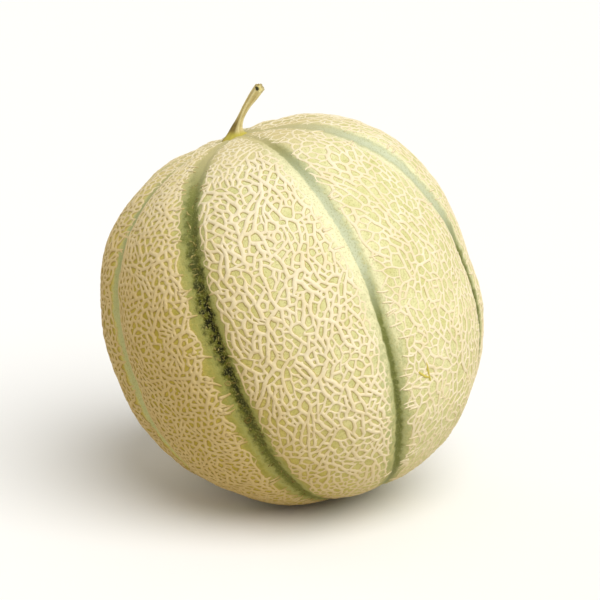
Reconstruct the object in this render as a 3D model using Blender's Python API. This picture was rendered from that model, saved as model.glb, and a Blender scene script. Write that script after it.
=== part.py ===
"""Cantaloupe melon: a ribbed fruit resting on a small flat spot, and the dried stem it was cut with.

Metres, +Z up. The origin is the middle of the flat spot that the fruit rests on, and +X is to
the right of someone who looks at the melon from the front, along +Y. The fruit's own axis runs
from its blossom end to its stem and leans to the left.
"""

import math

import bmesh
import bpy
from mathutils import Matrix, Vector

# The fruit
GIRTH_RADIUS = 0.0725  # from the axis to the skin, halfway between the two ends
STEM_END = 1.024  # how far the stem end lies from the centre, as a share of the girth radius
BLOSSOM_END = 1.004
STEM_END_SHOULDERS = 2.44  # 2 is an ellipse, and more is squarer
BLOSSOM_END_SHOULDERS = 2.15
LOPSIDED = 0.007  # the left shoulder and the right hip stand prouder than the others
OVAL = 0.0215  # the girth is slightly oval
OVAL_TOWARDS = math.radians(-21)
SWAY = 0.048  # the girth bulges to the left of the line between the two ends
HOLLOW_DEPTH = 0.002  # the dip around the stem
HOLLOW_SPREAD = 0.26  # in radians from the axis

# The seams between the ribs, each as (place round the axis halfway up, drift along it, bow), in degrees
SEAMS = (
    (-60.5, 3, 1),
    (-22.2, -0.6, 1.8),
    (22.2, 2.8, 2.7),
    (70.4, -9, 6.4),
    (103, -4, 0),
    (136, 2, 1.5),
    (169, -2, -1),
    (201, 3, 1),
    (234, -2, 2),
    (267, 2, -1),
)
SEAM_DEPTH = 0.0032
SEAM_FLANK = 0.009  # how far from its middle line a seam's broad dip reaches
SEAM_NECK = 0.0026  # and its narrow bottom
NECK_SHARE = 0.45  # the share of the depth that is the narrow bottom

# How it lies
LEAN = math.radians(19.8)  # the axis, from upright, towards -X
CENTRE = Vector((0.0010, -0.0008, 0.0720))  # the fruit's middle, seen from the middle of its flat spot

# The stem
SEAT_RADIUS = 0.0066  # the flat scar that the stem stands on
SEAT_GAP = 0.0003
FOOT_RADIUS = 0.0054
NECK_RADIUS = 0.0012
END_RADIUS = 0.0018
FLARE_LENGTH = 0.0016  # how fast the foot narrows
SWELL_START = 0.55  # where the stem begins to thicken again, as a share of its length
STEM_RIDGES = 5
RIDGE_HEIGHT = 0.10  # as a share of the radius
FOOT_CROWDING = 1.6  # above 1, the rings lie closer together in the foot
STEM_PATH = (  # from the middle of the foot, as (right, back, up)
    (0.0012, 0, 0.0056),
    (0.0029, 0.0003, 0.0092),
    (0.0061, 0, 0.0135),
    (0.0092, -0.0004, 0.0175),
)

# Fineness
COLUMNS_PER_RIB = 8
ROWS = 38
STEM_SIDES = 20
STEM_RINGS = 18


def clear_scene():
    for obj in list(bpy.data.objects):
        bpy.data.objects.remove(obj)


def make_material(name, colour, roughness):
    material = bpy.data.materials.new(name)
    material.use_nodes = True
    shader = material.node_tree.nodes["Principled BSDF"]
    shader.inputs["Base Color"].default_value = (*colour, 1)
    shader.inputs["Roughness"].default_value = roughness
    shader.inputs["Metallic"].default_value = 0
    return material


def finish_object(name, bm, material):
    bmesh.ops.recalc_face_normals(bm, faces=bm.faces)
    mesh = bpy.data.meshes.new(name)
    bm.to_mesh(mesh)
    bm.free()
    mesh.materials.append(material)
    mesh.shade_smooth()
    mesh.set_sharp_from_angle(angle=math.radians(40))
    obj = bpy.data.objects.new(name, mesh)
    bpy.context.scene.collection.objects.link(obj)
    return obj


def seam_longitude(seam, latitude):
    place, drift, bow = SEAMS[seam]
    return math.radians(place + drift * math.sin(latitude) + bow * math.cos(2 * latitude))


def plain_radius(latitude, longitude):
    """From the centre to the skin, before the seams are pressed in."""
    if latitude > 0:
        length, shoulders = STEM_END, STEM_END_SHOULDERS
    else:
        length, shoulders = BLOSSOM_END, BLOSSOM_END_SHOULDERS
    out = abs(math.cos(latitude)) ** shoulders + (abs(math.sin(latitude)) / length) ** shoulders
    lopsided = LOPSIDED * math.sin(2 * latitude) * math.sin(longitude)
    oval = OVAL * math.cos(latitude) ** 2 * math.cos(2 * (longitude - OVAL_TOWARDS))
    sway = SWAY * math.cos(latitude) ** 3 * math.sin(longitude)
    hollow = HOLLOW_DEPTH * math.exp(-(((math.pi / 2 - latitude) / HOLLOW_SPREAD) ** 2))
    return GIRTH_RADIUS * out ** (-1 / shoulders) * (1 - lopsided + oval - sway) - hollow


def seam_dip(latitude, distance):
    """How deep the skin lies below the rib at this distance from the nearest seam."""
    flank = (1 - NECK_SHARE) * math.exp(-((distance / SEAM_FLANK) ** 2))
    neck = NECK_SHARE * math.exp(-distance / SEAM_NECK)
    fade = math.cos(latitude) ** (0.5 if latitude > 0 else 1)
    return SEAM_DEPTH * fade * (flank + neck)


def skin_point(latitude, column):
    """A point of the skin, in the fruit's own frame. Each rib has the same number of columns."""
    seam, step = divmod(column, COLUMNS_PER_RIB)
    left = seam_longitude(seam, latitude)
    right = seam_longitude((seam + 1) % len(SEAMS), latitude)
    gap = (right - left) % (2 * math.pi)
    share = step / COLUMNS_PER_RIB
    longitude = left + share * gap
    distance = min(share, 1 - share) * gap * math.cos(latitude) * GIRTH_RADIUS
    radius = plain_radius(latitude, longitude) - seam_dip(latitude, distance)
    flat = math.cos(latitude) * radius
    return Vector((flat * math.sin(longitude), -flat * math.cos(longitude), math.sin(latitude) * radius))


def lay_down():
    """From the fruit's own frame, with its axis upright, to the way it lies."""
    return Matrix.Translation(CENTRE) @ Matrix.Rotation(-LEAN, 4, "Y")


def seat_height():
    return plain_radius(math.pi / 2, 0)


def make_fruit():
    columns = COLUMNS_PER_RIB * len(SEAMS)
    bm = bmesh.new()
    top_latitude = math.acos(SEAT_RADIUS / seat_height())
    rows = []
    for row in range(1, ROWS + 1):
        latitude = -math.pi / 2 + (top_latitude + math.pi / 2) * row / ROWS
        rows.append([bm.verts.new(skin_point(latitude, column)) for column in range(columns)])
    for vert in rows[-1]:  # the scar under the stem is level
        vert.co.z = seat_height()
    blossom_scar = bm.verts.new((0, 0, -plain_radius(-math.pi / 2, 0)))
    for column in range(columns):
        after = (column + 1) % columns
        bm.faces.new((blossom_scar, rows[0][after], rows[0][column]))
        for lower, upper in zip(rows, rows[1:]):
            bm.faces.new((lower[column], lower[after], upper[after], upper[column]))
    bm.faces.new(rows[-1])
    bmesh.ops.transform(bm, matrix=lay_down(), verts=bm.verts)

    # The flat spot that the fruit lies on
    everything = list(bm.verts) + list(bm.edges) + list(bm.faces)
    bmesh.ops.bisect_plane(bm, geom=everything, plane_co=(0, 0, 0), plane_no=(0, 0, -1), clear_outer=True)
    rim = [edge for edge in bm.edges if edge.is_boundary]
    bmesh.ops.contextual_create(bm, geom=rim)
    skin = make_material("melon_rind", (0.62, 0.52, 0.29), 0.6)
    return finish_object("melon_fruit", bm, skin)


def stem_radius(share, along):
    """The stem flares into its foot and swells a little towards its cut end."""
    flare = (FOOT_RADIUS - NECK_RADIUS) * math.exp(-along / FLARE_LENGTH)
    swell = max(0, (share - SWELL_START) / (1 - SWELL_START))
    return NECK_RADIUS + flare + (END_RADIUS - NECK_RADIUS) * swell * swell * (3 - 2 * swell)


def smooth_path(points, share):
    """A point on the Catmull-Rom curve through the points."""
    ends = [2 * points[0] - points[1], *points, 2 * points[-1] - points[-2]]
    along = share * (len(points) - 1)
    step = min(int(along), len(points) - 2)
    rest = along - step
    before, start, stop, after = ends[step : step + 4]
    curve = 2 * start + (stop - before) * rest
    curve += (2 * before - 5 * start + 4 * stop - after) * rest**2
    curve += (3 * start - before - 3 * stop + after) * rest**3
    return curve / 2


def path_direction(points, share, reach=0.02):
    ahead = smooth_path(points, min(1, share + reach))
    behind = smooth_path(points, max(0, share - reach))
    return (ahead - behind).normalized()


def make_stem():
    """Rings along the stem's path, the lowest of them level with the scar that it stands on."""
    axis = lay_down().to_3x3() @ Vector((0, 0, 1))
    foot = CENTRE + axis * (seat_height() + SEAT_GAP)
    path = [foot, *(foot + Vector(point) for point in STEM_PATH)]
    bm = bmesh.new()
    rings = []
    along = 0
    middle_before = foot
    for ring in range(STEM_RINGS + 1):
        share = (ring / STEM_RINGS) ** FOOT_CROWDING
        middle = smooth_path(path, share)
        along += (middle - middle_before).length
        middle_before = middle
        turned = min(1, along / (2 * FLARE_LENGTH))
        ahead = axis.lerp(path_direction(path, share), turned).normalized()
        across = Vector((0, 1, 0)).cross(ahead).normalized()
        back = ahead.cross(across)
        verts = []
        for side in range(STEM_SIDES):
            angle = 2 * math.pi * side / STEM_SIDES
            radius = stem_radius(share, along) * (1 + RIDGE_HEIGHT * math.cos(STEM_RIDGES * angle))
            outwards = math.cos(angle) * across + math.sin(angle) * back
            verts.append(bm.verts.new(middle + radius * outwards))
        rings.append(verts)
    for lower, upper in zip(rings, rings[1:]):
        for side in range(STEM_SIDES):
            after = (side + 1) % STEM_SIDES
            bm.faces.new((lower[side], lower[after], upper[after], upper[side]))
    bm.faces.new(reversed(rings[0]))
    bm.faces.new(rings[-1])
    bark = make_material("dried_stem", (0.33, 0.27, 0.13), 0.8)
    return finish_object("stem", bm, bark)


clear_scene()
make_fruit()
make_stem()
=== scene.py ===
import math

import bpy
import numpy as np
from mathutils import Matrix, Vector, geometry


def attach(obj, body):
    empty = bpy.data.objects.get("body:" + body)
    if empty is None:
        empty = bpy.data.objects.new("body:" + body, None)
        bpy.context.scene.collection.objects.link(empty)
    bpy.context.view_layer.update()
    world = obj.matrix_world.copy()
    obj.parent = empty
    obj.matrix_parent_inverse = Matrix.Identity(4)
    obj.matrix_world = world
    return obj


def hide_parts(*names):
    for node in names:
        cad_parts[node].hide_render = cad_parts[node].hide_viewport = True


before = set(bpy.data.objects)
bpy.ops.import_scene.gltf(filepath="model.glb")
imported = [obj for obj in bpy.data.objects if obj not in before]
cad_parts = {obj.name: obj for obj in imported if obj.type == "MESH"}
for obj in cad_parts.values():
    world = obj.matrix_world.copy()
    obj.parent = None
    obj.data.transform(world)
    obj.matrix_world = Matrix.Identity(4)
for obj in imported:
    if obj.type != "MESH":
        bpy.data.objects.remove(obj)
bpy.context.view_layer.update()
mm = 0.001

# the fruit's shape, as the CAD holds it: longitudes run from the front towards the right
fruit = {
    "girthRadius": 0.0725,
    "stemEnd": 1.024,
    "blossomEnd": 1.004,
    "stemEndShoulders": 2.44,
    "blossomEndShoulders": 2.15,
    "lopsided": 0.007,
    "oval": 0.0215,
    "ovalTowards": math.radians(-21),
    "sway": 0.048,
    "hollowDepth": 0.002,
    "hollowSpread": 0.26,
    "lean": math.radians(19.8),
    "centre": (0.0010, -0.0008, 0.0720),
}
girth = fruit["girthRadius"] / mm  # in millimetres

# what starts each piece's random draws; the net adds the number of the rib
draws = {"swells": 5, "dimples": 6, "net": 200, "combs": 31, "crumbs": 77}

# how a seam looks along its length, set to agree with the photo: each list gives the value at
# these latitudes, in millimetres for widths and from 0 to 1 for the rest
seamLatitudes = np.radians([-80, -50, -25, 0, 20, 40, 62, 80])
seamLooks = {
    "dark": {  # a rough, nearly black line in a broad green band
        "lineLeft": (0.8, 1.7, 2.0, 2.2, 2.5, 2.8, 2.6, 1.6),
        "lineRight": (0.8, 1.6, 1.8, 1.9, 2.1, 2.4, 2.0, 1.0),
        "tone": (0.3, 0.50, 0.66, 0.96, 1.0, 0.72, 0.40, 0.25),
        "greenLeft": (1.5, 4.4, 4.8, 5.4, 5.2, 4.4, 4.6, 3.2),
        "greenRight": (1.5, 4.2, 4.2, 4.2, 4.2, 4.0, 3.2, 1.6),
        "bareLeft": (1.0, 4.0, 5.0, 5.8, 5.4, 4.4, 4.2, 2.0),
        "bareRight": (1.0, 3.0, 3.0, 3.0, 3.0, 2.8, 2.0, 0.0),
        "olive": (0.8, 0.8, 0.9, 0.9, 0.8, 0.8, 0.6, 0.5),
        "depth": (1, 1, 1, 1, 1, 1, 1, 1),
        "fades": (0.8, 2.4), "combs": (0.3, 0.3), "dusk": 0.6},
    "pale": {  # a pale blue-green band higher up, and a thin dark line lower down
        "lineLeft": (0.6, 1.2, 1.2, 0.9, 0.9, 1.3, 1.2, 0.6),
        "lineRight": (0.6, 1.7, 1.4, 1.1, 1.7, 1.9, 1.4, 0.8),
        "tone": (0.2, 0.50, 0.68, 0.55, 0.08, 0.14, 0.46, 0.25),
        "greenLeft": (1.5, 1.9, 1.6, 1.1, 0.9, 1.0, 1.6, 1.0),
        "greenRight": (1.5, 3.8, 3.6, 3.4, 3.6, 4.0, 3.2, 1.0),
        "bareLeft": (1.0, 2.2, 2.4, 2.4, 2.8, 3.2, 1.4, 0.0),
        "bareRight": (1.0, 3.0, 3.5, 4.8, 3.8, 2.4, 1.2, 0.0),
        "olive": (0.7, 0.8, 0.7, 0.3, 0.1, 0.1, 0.3, 0.5),
        "depth": (1, 1, 1, 0.9, 0.75, 0.8, 0.8, 1),
        "fades": (6, 1.4), "combs": (0.1, 0.7), "dusk": 0},
    "soft": {  # a wide pale band higher up, dark olive lower down
        "lineLeft": (0.6, 1.4, 2.0, 2.0, 1.9, 2.1, 2.3, 1.5),
        "lineRight": (0.6, 1.6, 2.6, 2.9, 2.7, 2.5, 2.7, 1.7),
        "tone": (0.3, 0.5, 0.62, 0.62, 0.14, 0.04, 0.16, 0.20),
        "greenLeft": (1.5, 2.6, 3.4, 3.6, 4.2, 4.8, 4.6, 2.6),
        "greenRight": (1.5, 3.0, 4.2, 4.8, 4.8, 4.6, 4.4, 2.6),
        "bareLeft": (1.0, 2.4, 2.8, 3.0, 3.8, 4.4, 3.6, 0.5),
        "bareRight": (1.0, 2.6, 3.6, 4.2, 4.2, 4.0, 3.6, 0.5),
        "olive": (0.6, 0.6, 0.5, 0.3, 0.1, 0.0, 0.2, 0.5),
        "depth": (1, 1, 1, 1, 0.7, 0.6, 0.7, 0.9),
        "fades": (2.5, 2), "combs": (0.3, 0.4), "dusk": 0.2},
    "faint": {  # a pale grey-green groove with hardly any dark line
        "lineLeft": (0.6, 2.0, 2.8, 3.0, 2.8, 1.7, 1.5, 1.2),
        "lineRight": (0.6, 1.3, 1.5, 1.5, 1.4, 1.2, 1.4, 1.2),
        "tone": (0.15, 0.14, 0.12, 0.14, 0.16, 0.30, 0.36, 0.25),
        "greenLeft": (1.2, 2.6, 3.4, 3.8, 3.6, 2.6, 2.6, 2.0),
        "greenRight": (1.2, 2.0, 2.6, 2.6, 2.5, 2.2, 2.4, 2.0),
        "bareLeft": (0.8, 2.0, 2.8, 3.0, 2.8, 1.6, 1.2, 0.5),
        "bareRight": (0.8, 1.5, 1.6, 1.6, 1.5, 1.0, 0.9, 0.3),
        "olive": (0.5, 0.2, 0.1, 0.1, 0.1, 0.2, 0.4, 0.5),
        "depth": (1, 0.9, 0.8, 0.8, 0.8, 0.8, 0.9, 1),
        "fades": (0.8, 0.3), "combs": (0.25, 0.2), "dusk": 0},
}

# each seam as (its look, its place round the axis halfway up, its drift along the axis, its bow)
seams = [
    ("faint", -60.5, 3, 1),
    ("dark", -22.2, -0.6, 1.8),
    ("pale", 22.2, 2.8, 2.7),
    ("soft", 70.4, -9, 6.4),
    ("dark", 103, -4, 0),
    ("faint", 136, 2, 1.5),
    ("soft", 169, -2, -1),
    ("dark", 201, 3, 1),
    ("faint", 234, -2, 2),
    ("soft", 267, 2, -1),
]

# the skin under the net
rind = {
    "columnsPerRib": 32,
    "rings": 200,
    "crowding": 0.07,  # draws the columns towards the seams
    "underNet": 0.6 * mm,  # how far the skin lies below the tops of the net
    "seamDepth": 2.9 * mm,
    "seamFlank": 8.5 * mm,
    "seamNeck": 2.2 * mm,
    "seamFloor": 0.7 * mm,
    "neckShare": 0.5,
    "swells": 0.30 * mm,  # broad unevenness
    "swellLength": 30 * mm,
    "dimples": 0.09 * mm,  # and small
    "dimpleLength": 7 * mm,
    # from which latitude, and over how many degrees, the skin rises to the tops of the net and turns warmer
    "bareByStem": (77, 8),
    "tanByStem": (48, 28),
    "coverInside": 1.0,  # in millimetres, how far past the net's border its tone begins on the skin
    "coverEase": 1.6,
    "restHeight": 0.5 * mm,  # over the flat spot, where only the net touches
}


def clearSelection():
    bpy.ops.object.select_all(action="DESELECT")


def seamLongitude(seam, latitude):
    place = np.array([s[1:] for s in seams])[np.asarray(seam) % len(seams)]
    return np.radians(place[..., 0] + place[..., 1] * np.sin(latitude) + place[..., 2] * np.cos(2 * latitude))


def ribGap(rib, latitude):
    return (seamLongitude(rib + 1, latitude) - seamLongitude(rib, latitude)) % (2 * np.pi)


def ribWidth(rib, latitude):
    return ribGap(rib, latitude) * np.cos(latitude) * fruit["girthRadius"] / mm


def plainRadius(latitude, longitude):
    upper = latitude > 0
    length = np.where(upper, fruit["stemEnd"], fruit["blossomEnd"])
    square = np.where(upper, fruit["stemEndShoulders"], fruit["blossomEndShoulders"])
    out = np.abs(np.cos(latitude)) ** square + (np.abs(np.sin(latitude)) / length) ** square
    lopsided = fruit["lopsided"] * np.sin(2 * latitude) * np.sin(longitude)
    oval = fruit["oval"] * np.cos(latitude) ** 2 * np.cos(2 * (longitude - fruit["ovalTowards"]))
    sway = fruit["sway"] * np.cos(latitude) ** 3 * np.sin(longitude)
    hollow = fruit["hollowDepth"] * np.exp(-(((np.pi / 2 - latitude) / fruit["hollowSpread"]) ** 2))
    return fruit["girthRadius"] * out ** (-1 / square) * (1 - lopsided + oval - sway) - hollow


def direction(latitude, longitude):
    flat = np.cos(latitude)
    return np.stack([flat * np.sin(longitude), -flat * np.cos(longitude), np.sin(latitude)], axis=-1)


def waves(towards, length, seed, count=28):
    # soft unevenness from many seeded ripples, roughly from -1 to 1
    rng = np.random.default_rng(seed)
    ways = unit(rng.normal(size=(count, 3)))
    turns = 2 * np.pi * fruit["girthRadius"] / length * rng.uniform(0.6, 1.4, count)
    starts = rng.uniform(0, 2 * np.pi, count)
    total = np.zeros(towards.shape[:-1])
    for way, turn, start in zip(ways, turns, starts):
        total += np.sin(towards @ way * turn + start)
    return total / math.sqrt(count)


def skinRadius(latitude, longitude, toSeam, depth=1):
    fade = np.clip(np.cos(latitude), 0, 1) ** np.where(latitude > 0, 0.5, 1)
    soft = np.sqrt(toSeam**2 + rind["seamFloor"] ** 2) - rind["seamFloor"]
    flank = (1 - rind["neckShare"]) * np.exp(-((toSeam / rind["seamFlank"]) ** 2))
    neck = rind["neckShare"] * np.exp(-soft / rind["seamNeck"])
    towards = direction(latitude, longitude)
    uneven = rind["swells"] * waves(towards, rind["swellLength"], draws["swells"])
    uneven = uneven + rind["dimples"] * waves(towards, rind["dimpleLength"], draws["dimples"])
    under = rind["underNet"] * (1 - ramp(np.degrees(latitude), *rind["bareByStem"]))
    seam = rind["seamDepth"] * depth * fade * (flank + neck)
    return plainRadius(latitude, longitude) - under - seam + uneven


def layDown(points):
    # from the fruit's own frame, with its axis upright, to the way it lies
    turned = Matrix.Rotation(-fruit["lean"], 3, "Y")
    return points @ np.array(turned).T + np.array(fruit["centre"])


def onFruit(rib, share, latitude, above):
    gap = ribGap(rib, latitude)
    longitude = seamLongitude(rib, latitude) + share * gap
    toSeam = np.minimum(np.abs(share), np.abs(1 - share)) * gap * np.cos(latitude) * fruit["girthRadius"]
    left, right = alongSeam(rib, "depth", latitude), alongSeam(np.asarray(rib) + 1, "depth", latitude)
    radius = skinRadius(latitude, longitude, toSeam, left + (right - left) * smoothStep(share)) + above
    return layDown(radius[..., None] * direction(latitude, longitude))


def lookOf(seam, name):
    return seamLooks[seams[seam % len(seams)][0]][name]


def alongSeam(seam, name, latitude):
    # the value of one of a seam's lists at each latitude
    seam, latitude = np.broadcast_arrays(np.asarray(seam) % len(seams), latitude)
    out = np.zeros(latitude.shape)
    for k in range(len(seams)):
        here = seam == k
        out[here] = np.interp(latitude[here], seamLatitudes, lookOf(k, name))
    return out


def smoothStep(x):
    x = np.clip(x, 0, 1)
    return x * x * (3 - 2 * x)


def ramp(x, start, over):
    return smoothStep((x - start) / over)


def netCover(rib, share, latitude):
    # 0 on the bare bands beside the seams, 1 where the net is whole
    ease, inside = rind["coverEase"], rind["coverInside"]
    width = ribWidth(rib, latitude)
    fades = np.array([lookOf(k, "fades") for k in range(len(seams))])
    easeLeft = fades[np.asarray(rib) % len(seams), 1] + ease
    easeRight = fades[(np.asarray(rib) + 1) % len(seams), 0] + ease
    left = (share * width - alongSeam(rib, "bareRight", latitude) - inside) / easeLeft
    right = ((1 - share) * width - alongSeam(np.asarray(rib) + 1, "bareLeft", latitude) - inside) / easeRight
    return smoothStep(left + ease / 2 / easeLeft) * smoothStep(right + ease / 2 / easeRight)


def setAttribute(obj, name, values):
    layer = obj.data.attributes.new(name, "FLOAT", "POINT")
    layer.data.foreach_set("value", np.asarray(values, np.float32))


def addPiece(obj, node, material):
    obj.data.materials.clear()
    obj.data.materials.append(material)
    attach(obj, "root")
    if node:
        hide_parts(node)


def meshPoints(obj):
    co = np.empty(len(obj.data.vertices) * 3)
    obj.data.vertices.foreach_get("co", co)
    return co.reshape(-1, 3)


def editAll():
    bpy.ops.object.mode_set(mode="EDIT")
    bpy.ops.mesh.select_all(action="SELECT")


def startDisc(name, sides, radius):
    # it stays in edit mode, with everything selected
    clearSelection()
    bpy.ops.mesh.primitive_circle_add(vertices=sides, radius=radius, fill_type="NGON")
    obj = bpy.context.object
    obj.name = obj.data.name = name
    editAll()
    return obj


def faceOutwards():
    bpy.ops.mesh.select_all(action="SELECT")
    bpy.ops.mesh.normals_make_consistent(inside=False)
    bpy.ops.object.mode_set(mode="OBJECT")


def unit(rows):
    return rows / np.maximum(np.linalg.norm(rows, axis=1), 1e-6)[:, None]


def newObject(name, data):
    obj = bpy.data.objects.new(name, data)
    bpy.context.scene.collection.objects.link(obj)
    return obj


def meshFrom(name, points, faces):
    mesh = bpy.data.meshes.new(name)
    mesh.from_pydata(points.tolist(), [], faces)
    mesh.update()
    mesh.shade_smooth()
    return newObject(name, mesh)


def feed(tree, socket, value):
    # by a link, or with a value of its own
    if isinstance(value, bpy.types.NodeSocket):
        tree.links.new(value, socket)
    else:
        socket.default_value = (*value, 1) if isinstance(value, tuple) else value


def mixed(tree, name, low, high, factor, blend="MIX"):
    # a colour mix with its two colours and its factor given as values or sockets
    mix = tree.nodes.new("ShaderNodeMix")
    mix.name = mix.label = name
    mix.data_type = "RGBA"
    mix.blend_type = blend
    for socket, value in ((mix.inputs[0], factor), (mix.inputs[6], low), (mix.inputs[7], high)):
        feed(tree, socket, value)
    return mix.outputs[2]


def worked(tree, kind, first, second, clamp=False):
    node = tree.nodes.new("ShaderNodeMath")
    node.operation = kind
    node.use_clamp = clamp
    for socket, value in zip(node.inputs, (first, second)):
        feed(tree, socket, value)
    return node.outputs[0]


def times(tree, first, second, clamp=False):
    return worked(tree, "MULTIPLY", first, second, clamp)


def mapRange(tree, value, low, high, outLow=0.0, outHigh=1.0, smooth=True):
    node = tree.nodes.new("ShaderNodeMapRange")
    node.interpolation_type = "SMOOTHSTEP" if smooth else "LINEAR"
    for socket, given in zip(node.inputs, (value, low, high, outLow, outHigh)):
        feed(tree, socket, given)
    return node.outputs[0]


def attribute(tree, name):
    node = tree.nodes.new("ShaderNodeAttribute")
    node.attribute_name = name
    return node.outputs["Fac"]


def rgb(r, g, b):
    # a colour as a screen shows it, from 0 to 255, as the linear values that Blender wants
    def linear(c):
        c /= 255
        return c / 12.92 if c <= 0.04045 else ((c + 0.055) / 1.055) ** 2.4
    return (linear(r), linear(g), linear(b))


def grownNoise():
    # blotches and grain that every skin here shares: one mask of soft blotches, one of fine grain
    group = bpy.data.node_groups.new("grownNoise", "ShaderNodeTree")
    for name, default in (("Blotch Size", 8.0), ("Grain Size", 0.8), ("Detail", 3.0)):
        socket = group.interface.new_socket(name, in_out="INPUT", socket_type="NodeSocketFloat")
        socket.default_value = default
    for name in ("Blotches", "Grain", "Height"):
        group.interface.new_socket(name, in_out="OUTPUT", socket_type="NodeSocketFloat")
    start = group.nodes.new("NodeGroupInput")
    end = group.nodes.new("NodeGroupOutput")
    place = group.nodes.new("ShaderNodeTexCoord")
    outs = []
    for size in ("Blotch Size", "Grain Size"):
        scale = worked(group, "DIVIDE", 1000.0, start.outputs[size])
        noise = group.nodes.new("ShaderNodeTexNoise")
        noise.inputs["Roughness"].default_value = 0.6
        group.links.new(place.outputs["Object"], noise.inputs["Vector"])
        group.links.new(scale, noise.inputs["Scale"])
        group.links.new(start.outputs["Detail"], noise.inputs["Detail"])
        outs.append(mapRange(group, noise.outputs["Fac"], 0.3, 0.7, smooth=False))
    group.links.new(outs[0], end.inputs["Blotches"])
    group.links.new(outs[1], end.inputs["Grain"])
    height = worked(group, "ADD", times(group, outs[0], 0.4), times(group, outs[1], 0.6))
    group.links.new(height, end.inputs["Height"])
    return group


def noiseIn(tree, group, blotch, grain, detail=3.0):
    node = tree.nodes.new("ShaderNodeGroup")
    node.node_tree = group
    node.inputs["Blotch Size"].default_value = blotch
    node.inputs["Grain Size"].default_value = grain
    node.inputs["Detail"].default_value = detail
    return node


def newMaterial(name, roughness, specular=0.4):
    material = bpy.data.materials.new(name)
    material.use_nodes = True
    shader = material.node_tree.nodes["Principled BSDF"]
    shader.inputs["Roughness"].default_value = roughness
    shader.inputs["Specular IOR Level"].default_value = specular
    return material, material.node_tree, shader


def colourAndBumps(tree, shader, colour, noise, distance, strength):
    tree.links.new(colour, shader.inputs["Base Color"])
    bump = tree.nodes.new("ShaderNodeBump")
    bump.inputs["Strength"].default_value = strength
    bump.inputs["Distance"].default_value = distance
    tree.links.new(noise.outputs["Height"], bump.inputs["Height"])
    tree.links.new(bump.outputs["Normal"], shader.inputs["Normal"])


# the side where shade is painted into the colour, in metres: from 0 to 1 over these two distances along the
# direction
paintedShadeSide = {"middle": (0.0, 0.0, -0.07), "towards": (-0.84, -0.10, -0.56), "from": (-0.015, 0.052)}


def shadedSide():
    # 1 on the left and low side, away from the key light, where shade is painted in as a darker, warmer
    # colour, and 0 on the other
    group = bpy.data.node_groups.new("shadedSide", "ShaderNodeTree")
    group.interface.new_socket("Side", in_out="OUTPUT", socket_type="NodeSocketFloat")
    end = group.nodes.new("NodeGroupOutput")
    place = group.nodes.new("ShaderNodeTexCoord")
    mapping = group.nodes.new("ShaderNodeMapping")
    mapping.inputs["Location"].default_value = paintedShadeSide["middle"]
    along = group.nodes.new("ShaderNodeVectorMath")
    along.operation = "DOT_PRODUCT"
    along.inputs[1].default_value = paintedShadeSide["towards"]
    group.links.new(place.outputs["Object"], mapping.inputs["Vector"])
    group.links.new(mapping.outputs["Vector"], along.inputs[0])
    group.links.new(mapRange(group, along.outputs["Value"], *paintedShadeSide["from"]), end.inputs["Side"])
    return group


# painted shade: a colour made darker and warmer on the left and low side
def paintShade(tree, side, colour, shadeTint):
    node = tree.nodes.new("ShaderNodeGroup")
    node.node_tree = side
    return mixed(tree, "painted shade side", colour, shadeTint, node.outputs["Side"], "MULTIPLY")


# the skin's colours, from 0 to 255
skinColours = {
    "under": (238, 234, 186), "underDarker": (212, 208, 144), "underMottles": (190, 194, 126),
    "byStem": (228, 214, 166), "warmByStem": (206, 188, 130),
    "bare": (246, 242, 200), "bareOlive": (184, 180, 114), "bareMottles": (150, 162, 108),
    "green": (200, 206, 162), "greenDeep": (128, 136, 80), "greenMottles": (178, 176, 116),
    "specks": (150, 138, 72),
    "line": (212, 218, 186), "lineDeep": (118, 124, 66), "lineFlecks": (150, 152, 98),
    "lineDeepest": (16, 16, 0), "lineDeepestPaler": (94, 96, 28),
}
# what the painted shade on the left and low side multiplies them by
skinShadeTints = {"bare": (0.78, 0.73, 0.49), "underNet": (0.67, 0.57, 0.24), "all": (1.0, 0.94, 0.66)}


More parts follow.
